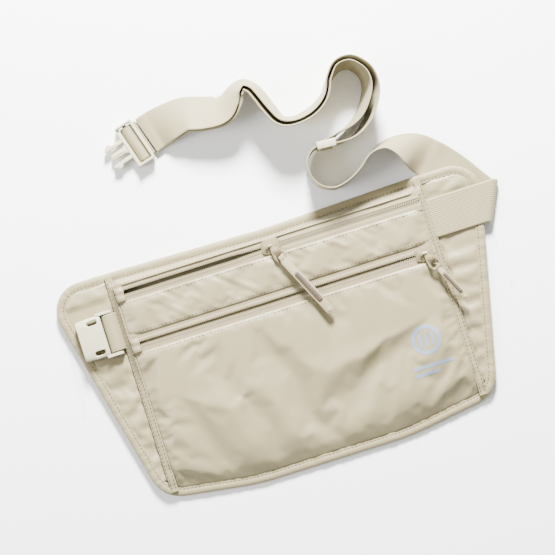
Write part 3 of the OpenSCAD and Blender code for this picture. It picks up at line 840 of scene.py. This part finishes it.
# %% [markdown]
# ## Strip and facing
# A strip of cloth lies between the zips, and a narrow facing runs above the upper zip.


# %% Strip and facing
def strip_height(x, y):
    side = seam_top(y) + (FRONT_Z - seam_top(y)) * from_seam(x, 10)
    below, above = dome((y - LOWER_ZIP - FOLD_HALF) / 5), dome((UPPER_ZIP - FOLD_HALF - y) / 5)
    room = below * above * from_seam(x, 8)
    folds = 0.7 * ripple(x + y * 0.8, y * 0.5, 12, 4) + 0.4 * ripple(x + y, y * 0.5, 6, 5)
    return side - HEM_DIP * (2 - below - above) + room * folds


strip, held = panel("strip_panel_cloth", linspace(-SEAM_X, SEAM_X, 150),
                    lambda x: LOWER_ZIP + FOLD_HALF + 0.3,
                    lambda x: UPPER_ZIP - FOLD_HALF - 0.3, 20, strip_height, hem_low=True, hem_high=True)
settle(strip, held, 0.015, 0.8, 0.08, 20)
cap(strip, lambda x, y: np.full(x.shape, 12.1))
thicken(strip)
piece(strip, "pouch", "cream_nylon", "strip_panel")


FACING_HALF = 4.4


def facing_height(x, y):
    high = np.array([crossing(5.2, 0, a)[1] for a in x])
    z = 2.8 + (11.0 - 2.8) * dome((high - y) / (high - UPPER_ZIP - FACING_HALF) * 1.15) ** 0.9
    side = seam_top(y) + (11.2 - seam_top(y)) * from_seam(x, 8)
    room = from_seam(x, 8) * dome((high - y) / 2)
    return np.minimum(z, side) + 0.25 * ripple(x, y * 0.4, 9, 6) * room


facing, _ = panel("top_facing_cloth", linspace(-SEAM_X, SEAM_X, 120),
                  lambda x: UPPER_ZIP + FACING_HALF + 0.3,
                  lambda x: crossing(5.2, 0, x)[1], 8, facing_height, hem_low=True)
thicken(facing)
piece(facing, "pouch", "cream_nylon", "top_facing")

# %% [markdown]
# ## Wings, back and divider
# Each wing is one soft ply above the back. The divider parts the two pockets and shows through the open zip.


# %% Wings, back and divider
def wing(name, k):
    rows = linspace(seam_low + 2.6, crossing(5.2, 0, k * 112)[1] - 0.1, 74)
    rows = np.array([y for y in rows if crossing(5.2, 1, y)[1] > 106])
    t = linspace(0, 1, 26)
    grid = []
    for y in rows:
        x = 103.6 + (crossing(5.2, 1, y)[1] - 103.6) * t
        inside = (dome((x - 103.6) / 5) * dome((x[-1] - x) / 6)
                  * dome((y - rows[0]) / 6) * dome((rows[-1] - y) / 6))
        fan = 0.9 * ripple(x * 0.35 + y * 0.2, y * 1.2, 11, 7 + k) + 0.5 * ripple(x * 0.6, y, 6, 9 + k)
        z = 2.6 + lift(x) + inside * (0.2 + fan)
        grid.append(np.stack([k * x, np.full(x.shape, y), z], 1).tolist())
    if k > 0:
        grid = grid[::-1]
    obj = cloth_mesh(name, grid)
    settle(obj, rim(len(grid), len(t)), 0.02, 0.8, 0.08, 20)
    cap(obj, lambda x, y: 8.5 - 3.7 * ease(22, 25, y) * (1 - ease(62, 66, y)))
    return obj


for side, k in (("left", -1), ("right", 1)):
    cloth = wing(f"{side}_wing_cloth", k)
    thicken(cloth)
    piece(cloth, "pouch", "cream_nylon", f"{side}_wing_panel")


def back_height(x, y):
    return 0.45 + lift(x) + 0.15 * (1 + ripple(x, y, 18, 12))


back, _ = panel("back_cloth", linspace(-142.5, 142.5, 140), lambda x: crossing(1.6, 0, x)[0],
                lambda x: crossing(1.6, 0, x)[1], 70, back_height)
thicken(back, 0.3)
piece(back, "pouch", "cream_nylon", "back_panel")


def divider_height(x, y):
    low = np.array([crossing(5.2, 0, a)[0] for a in x])
    folds = 0.4 * ripple(x, y, 14, 13) * dome((y - low - 3) / 20)
    return 1.5 + 4.6 * dome((y - low) / 40) + folds + 4.4 * ease(53.4, 55.8, y)


divider, _ = panel("pocket_divider", linspace(-98, 98, 90), lambda x: crossing(8, 0, x)[0],
                   lambda x: 55.8, 44, divider_height)
thicken(divider, 0.3)
piece(divider, "pouch", "cream_nylon", "divider_lining")
print("wings, back and divider")

# %% [markdown]
# ## Binding, seam tapes and stitches
# A folded tape binds the whole edge and puckers where it is stitched. Two narrower tapes cover the seams.


# %% Binding and tapes
STITCHED = 4.3  # depth of the stitch line from the outline


def binding():
    depth = [(-0.3, 1.3), (-0.1, 2.2), (0.8, 2.85), (2.2, 3.05), (3.5, 2.95), (STITCHED, 2.6), (5.1, 2.85),
             (5.9, 2.6), (6.1, 1.9), (5.4, 0.5), (3.6, 0.15), (1.2, 0.05), (0.2, 0.4)]
    lines = {d: inset(EDGE, d) for d, _ in depth}
    run = np.arange(len(EDGE)) * 1.1
    crimp = ripple(run, 0 * run, 2.3, 14) * 0.36 + ripple(run, 0 * run, 5.5, 15) * 0.25
    sway = ripple(run, 0 * run, 9, 16) * 0.35
    rings = []
    for k in range(len(EDGE)):
        ring = []
        for d, z in depth:
            x, y = lines[d][k]
            shape = 0.35 if d == STITCHED else 1.0 if 0.5 < d < 6 else 0.4
            inner = sway[k] * (1 if d > 4.5 else 0.2)
            nx, ny = lines[d][k] - EDGE[k] if d > 1 else (0, 0)
            along = hypot(nx, ny) or 1
            up = z + lift(x) + (crimp[k] * shape if z > 1.5 else 0)
            ring.append((x + nx / along * inner, y + ny / along * inner, up))
        rings.append(ring)
    return Shape().loft(rings, loop=True).make("edge_binding_tape", 80)


edge_tape = piece(binding(), "pouch", "binding_tape", "edge_binding")


def seam_tape(name, k):
    rings = []
    ys = np.arange(seam_low - 1.5, seam_high + 1.5, 1.1)
    crimp = ripple(ys, 0 * ys, 2.6, 20 + k) * 0.28
    for y, c in zip(ys, crimp):
        h, w = float(seam_top(y)) + 0.3, 3.2 + lift(104) + 0.2 + 1.0 * float(ease(seam_low, seam_low + 8, y))
        h = max(h, w + 0.2)
        line = [(99.9, h - 1.6), (99.9, h - 0.3), (100.5, h + 0.35 + c), (101.2, h + 0.1 + c * 0.3),
                (101.9, (h + w) / 2 + 0.6 + c), (102.8, w + (h - w) * 0.28 + 0.4 + c),
                (103.5, w + 0.35 + c * 0.3), (104.3, w + 0.45 + c), (104.7, w - 0.1),
                (104.6, w - 1.2), (102, w - 1.8)]
        rings.append([(k * x, y, z) for x, z in line])
    return Shape().loft(rings).make(name, 80)


tapes = {k: piece(seam_tape(f"{side}_seam_binding", k), "pouch", "binding_tape", f"{side}_seam_tape")
         for side, k in (("left", -1), ("right", 1))}

# %% [markdown]
# Stitches are small raised threads laid on the finished surfaces, found by looking straight down on them.
# Their dark colour is painted shade of the holes that they sink into.


# %% Stitches
def surface(*objects):
    trees = [BVHTree.FromPolygons([v.co / MM for v in o.data.vertices],
                                  [list(p.vertices) for p in o.data.polygons]) for o in objects]

    def height(x, y):
        hits = [t.ray_cast(Vector((x, y, 60)), Vector((0, 0, -1)))[0] for t in trees]
        found = [h.z for h in hits if h is not None]
        return max(found) if found else None
    return height


def stitches(shape, points, height, pitch=2.5, long=1.75, r=0.2, closed=False):
    line = np.vstack([points, points[:1]]) if closed else np.asarray(points, float)
    run = np.concatenate([[0], np.cumsum(np.linalg.norm(np.diff(line, axis=0), axis=1))])
    for s in np.arange(pitch / 2, run[-1] - pitch / 2, pitch):
        path = []
        for u, sink in [(-0.5, 0.3), (-0.3, 0.06), (0, 0.02), (0.3, 0.06), (0.5, 0.3)]:
            x, y = (np.interp(s + u * long, run, line[:, k]) for k in (0, 1))
            z = height(x, y)
            if z is None:
                break
            path.append((x, y, z - sink))
        if len(path) == 5:
            shape.tube(path, [r * 0.5, r, r * 1.1, r, r * 0.5], 5)


painted_shade_thread = Shape()
stitches(painted_shade_thread, inset(EDGE, STITCHED), surface(edge_tape), r=0.3, closed=True)
for k, tape in tapes.items():
    on = surface(tape)
    for x in (101.0, 103.8):
        stitches(painted_shade_thread, [[k * x, y] for y in np.arange(seam_low, seam_high, 1)], on, r=0.34)
for cloth, y in ((front, LOWER_ZIP - FOLD_HALF - 1.6), (strip, LOWER_ZIP + FOLD_HALF + 1.6),
                 (strip, UPPER_ZIP - FOLD_HALF - 1.6), (facing, UPPER_ZIP + FACING_HALF + 1.3)):
    stitches(painted_shade_thread, [[x, y] for x in np.arange(-99, 99.5, 1)], surface(cloth), r=0.22)
threads = piece(painted_shade_thread.make("seam_stitches", 60), "pouch", "binding_tape")
# the stitches take the dark thread finish, which is painted shade of their holes
threads.data.materials[0] = FINISH["painted_shade_thread"]
print("binding, tapes and", len(painted_shade_thread.verts) // 25, "stitches")

# %% [markdown]
# ## Print
# A plain ring with bars stands where the pouch carries a mark. It lies on the cloth as thin ink.


# %% Print
def ink():
    on = surface(front)
    s = Shape()
    cx, cy = 77.6, -22

    def patch(grid):
        n, m = len(grid), len(grid[0])
        top = [(x, y, (on(x, y) or FRONT_Z) + 0.09) for col in grid for x, y in col]
        low = [(x, y, z - 0.12) for x, y, z in top]
        rim = [i * m for i in range(n)] + [(n - 1) * m + j for j in range(1, m)] \
            + [i * m + m - 1 for i in range(n - 2, -1, -1)] + [j for j in range(m - 2, 0, -1)]
        quads = grid_faces(n, m)
        k = n * m
        s.add(top + low, quads + [[k + i for i in q[::-1]] for q in quads]
              + [[a, b, b + k, a + k] for a, b in zip(rim, rim[1:] + rim[:1])])

    def bar(x0, y0, x1, y1):
        xs, ys = (linspace(a, b, max(3, int(b - a))) for a, b in ((x0, x1), (y0, y1)))
        patch([[(x, y) for y in ys] for x in xs])

    for a in range(4):
        patch([[(cx + r * cos(t), cy + r * sin(t)) for r in linspace(7, 9.5, 4)]
               for t in linspace(a * pi / 2, (a + 1) * pi / 2, 14)])
    for k in (-1, 0, 1):
        bar(cx + k * 4 - 1, cy - 4.4, cx + k * 4 + 1, cy + 4.4)
    for k in (0, 1):
        bar(cx - 13, cy - 17.5 - k * 4.5, cx + 13 - k * 10, cy - 15.3 - k * 4.5)
    return s.make("printed_mark_ink", 60)


mark = piece(ink(), "pouch", "print", "printed_mark")

# %% [markdown]
# ## Zips
# Each zip has two tapes that stay with the pouch. Its open part lies between the left end and the
# slider, and its closed part between the slider and the right end.

# %% Zips
TAPE_Z = 9.9
TOOTH = 1.15
GRID_END = SEAM_X - 0.3


def ribbon(shape, xs, y, side, inner, outer, low, high):
    """A flat band beside a zip, from inner to outer away from its middle line."""
    a, b = (y + side * np.broadcast_to(v, len(xs)) for v in (inner, outer))
    z0, z1 = TAPE_Z + low, TAPE_Z + high
    shape.loft([[(x, p, z0), (x, q, z0), (x, q, z1), (x, p, z1)] for x, p, q in zip(xs, a, b)])


def teeth(shape, xs, inner, side, half=0.75):
    """Small rounded bars across one edge of the zip."""
    for x, y in zip(xs, inner):
        a, b = sorted((y, y + side * 1.75))
        ring = [(x + 0.36 * cos(t), TAPE_Z + 0.25 + half * sin(t)) for t in turns(6)]
        shape.loft([[(u, a, v) for u, v in ring], [(u, b, v) for u, v in ring]])


def unease(t):
    """The x at which ease(0, 1, x) is t."""
    return 0.5 - sin(asin(1 - 2 * t) / 3)


def run(name, xs, gap, y, side, parts, first_body, last_body, node):
    """One side of the teeth, cut in parts; the two bodies are not used."""
    cuts = np.round(linspace(0, len(xs) - 1, parts + 1)).astype(int)
    for k, (i, j) in enumerate(zip(cuts, cuts[1:])):
        part, at, g = Shape(), xs[i:j + 1], gap[i:j + 1]
        ribbon(part, at, y, side, np.maximum(g, 0.6) + 0.7, 3.9, -0.2, 0.2)
        if len(xs) > 12:
            teeth(part, at[:-1] + (TOOTH / 2 if side > 0 and gap[0] < 0 else 0), y + side * g[:-1], side)
        else:
            ribbon(part, at, y, side, g, 1.6, -0.4, 0.75)
        obj = piece(part.make(f"{name}_{k + 1}", 50), None, "zip_coil", node)
        whole = xs[-1] - xs[0]
        u, v = unease((xs[i] - xs[0]) / whole), unease((xs[j] - xs[0]) / whole)
        reach = (xs[j] - xs[i]) / (v - u)
        low = xs[i] - u * reach
        Vector((low + reach, y, TAPE_Z)) * MM
        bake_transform(obj)


def zip_parts(label, y, slider_x, slider_body):
    nodes = {1: f"{label}_zip_upper", -1: f"{label}_zip_lower"}
    for side in (1, -1):
        word = "upper" if side > 0 else "lower"
        xs = linspace(-GRID_END, GRID_END, 60)
        tape = Shape()
        outer = 5.0 if label == "upper" and side > 0 else 6.9
        ribbon(tape, xs, y, side, 3.5, outer, -0.25, 0.25)
        piece(tape.make(f"{label}_{word}_tape"), "pouch", "zip_tape", nodes[side] + "_tape")
        reach = slider_x - 4
        xs = np.arange(-GRID_END, reach, TOOTH)
        wide = 0.8 if label == "upper" else 0.3
        gap = 0.45 + wide * ease(reach, reach - 26, xs) + 0.12 * ripple(xs, 0 * xs, 12, 30 + side)
        run(f"{label}_{word}_open_coil", xs, gap, y, side, 6, "pouch", slider_body, nodes[side] + "_coil")
        start = slider_x + 4
        count = max(3, int((GRID_END - start) / TOOTH))
        xs = linspace(start, GRID_END, count)
        gap = np.full(count, -0.25 if count > 12 else 0.02)
        run(f"{label}_{word}_shut_coil", xs, gap, y, side, 6 if count > 12 else 1,
            slider_body, "pouch", nodes[side] + "_coil")


zip_parts("upper", UPPER_ZIP, 2, "upper_slider")
zip_parts("lower", LOWER_ZIP, 93, "lower_slider")


def end_tab(name, y):
    """Folded cloth over the left end of a zip."""
    rings = []
    for v in linspace(-5.2, 5.2, 15):
        bulge = 0.25 * sin(v * 1.3) + 0.2 * cos(v * 0.5)
        sway, top = 0.2 * sin(v), 11.9 + bulge
        line = [(-100.6, 9.4), (-95.2 + sway, 9.7), (-94.9 + sway, 10.9 + bulge), (-96.2, top), (-98.6, top),
                (-100.6, 10.8)]
        rings.append([(x, y + v, z) for x, z in line])
    return Shape().loft(rings).make(name, 60)


for label, y in (("upper", UPPER_ZIP), ("lower", LOWER_ZIP)):
    piece(end_tab(f"{label}_zip_end_fold", y), "pouch", "cream_nylon", f"{label}_zip_end_tab")
print("zips made")

# %% [markdown]
# ## Sliders and pulls
# A slider is two waisted plates with side flanges and a bridge. The pull plate hangs on the bridge, and a
# flat strip with a ribbed grip is threaded through the plate's hole.

# %% Sliders
LUG_Z = 12.9


def slider(name, x, y):
    s = Shape(Matrix.Translation((x, y, 0)))
    shape = fillet(mirrored([[-6, -3.4, 1.2], [-2.5, -4.9, 2], [4.2, -4.9, 1.6], [6, -2.6, 1.6]]), 5)
    s.slab(shape, 7.9, 8.7, 0.25)
    s.slab(shape, 10.75, 11.45, 0.3)
    s.slab(inset(shape, 1.1), 11.3, 11.75, 0.3)
    s.slab(plate(0.6, -0.8, 5, 0.8, 0.5), 8.3, 11, 0.1)
    for k in (-1, 1):
        s.slab(plate(-2.8, k * 4.525 - 0.325, 4.2, k * 4.525 + 0.325, 0.3), 9.6, 11.1, 0.15)
    return s.make(name)


def bridge(name, x, y):
    s = Shape(Matrix.Translation((x, y, 0)))
    for k in (-1, 1):
        s.slab(plate(k * 2.55 - 0.6, -1.1, k * 2.55 + 0.6, 1.1, 0.4), 11.2, LUG_Z + 0.75, 0.3)
    s.tube([(u, 0, LUG_Z) for u in (-2.7, -1.4, 0, 1.4, 2.7)], 0.55, 12)
    return s.make(name)


def pull_plate(name, at, low):
    low, top = low - 0.05, low + 1.05
    shape = fillet(mirrored([[1.0, -1.3, 0.6], [3.6, -2.7, 2], [8.4, -4.1, 3], [12.9, -3.3, 3]]), 6)
    body = Shape(at).slab(shape, low, top, 0.3).make(name + "_a", 45)
    cut_out(body, Shape(at).slab(plate(8.0, -2.7, 10.7, 2.7, 1.3), low - 5, top + 5, 0.01))
    more = Shape(at)
    more.slab(disc(4.1, 0, 1.7), top - 0.3, top + 0.4, 0.3)
    more.slab(disc(4.1, 0, 0.8), top, top + 0.6, 0.2)
    more.at = Matrix.Translation((*at.to_translation()[:2], LUG_Z))
    barrel = [(-1.2, 1.1), (-1.0, 1.3), (1.0, 1.3), (1.2, 1.1), (1.2, 0.8), (-1.2, 0.8)]
    more.loft([[(u, r * cos(a), r * sin(a)) for a in turns(16)] for u, r in barrel], loop=True)
    return join(name, body, more.make(name + "_b"))


def pull_strip(name, at, low, plate_low, start, length, wide):
    s = Shape(at)
    h = wide / 2
    s.slab(plate(start, -h, length, h, h * 0.98), low, low + 1.4, 0.35)
    s.slab(disc(length - h - 0.2, 0, h * 0.62), low + 1.2, low + 1.75, 0.25)
    if low > plate_low + 1:
        s.slab(plate(8.5, -1.8, 12, 1.8, 0.6), low + 0.4, low + 1.4, 0.25)
        s.slab(plate(8.5, -1.8, 9.6, 1.8, 0.4), plate_low - 0.8, low + 1.2, 0.25)
    return s.make(name)


def pull_grip(name, at, low, first, long, wide, tall):
    s = Shape(at)
    h = wide / 2
    s.slab(plate(first, -h, first + long, h, h * 0.8), low - 0.25, low + tall * 0.45, 0.15)
    for u in np.arange(first + 1.2, first + long - 0.9, 1.25):
        s.tube([(u, v, low + tall * 0.42) for v in (-h * 0.85, -h * 0.5, 0, h * 0.5, h * 0.85)],
               [0.2, 0.42, 0.45, 0.42, 0.2], 8)
    return s.make(name)


# place and turn, low sides of plate and strip, then the strip's start, end and width and the grip's sizes
PULLS = {"upper": (2, UPPER_ZIP, -64.5, 12.9, 14.5, (10.9, 57, 5.4), (23, 24, 3.4, 0.7)),
         "lower": (93, LOWER_ZIP, -64, 12.6, 12.3, (12.7, 39, 3.6), (17, 17, 2.3, 0.5))}
for label, (x, y, turn, low, strip_low, belt, grip) in PULLS.items():
    at = Matrix.Translation((x, y, 0)) @ Matrix.Rotation(radians(turn), 4, "Z")
    name = f"{label}_pull"
    piece(slider(f"{label}_slider_body", x, y), f"{label}_slider", "slider_enamel", f"{label}_slider")
    piece(bridge(f"{label}_slider_bridge", x, y), f"{label}_slider", "slider_enamel", f"{label}_slider_lug")
    piece(pull_plate(f"{name}_plate_looks", at, low), name, "slider_enamel", f"{name}_plate")
    piece(pull_strip(f"{name}_strip_looks", at, strip_low, low, *belt), name, "pull_strip", f"{name}_strip")
    piece(pull_grip(f"{name}_grip_looks", at, strip_low + 1.4, *grip), name, "pull_grip", f"{name}_grip")
print("sliders and pulls")
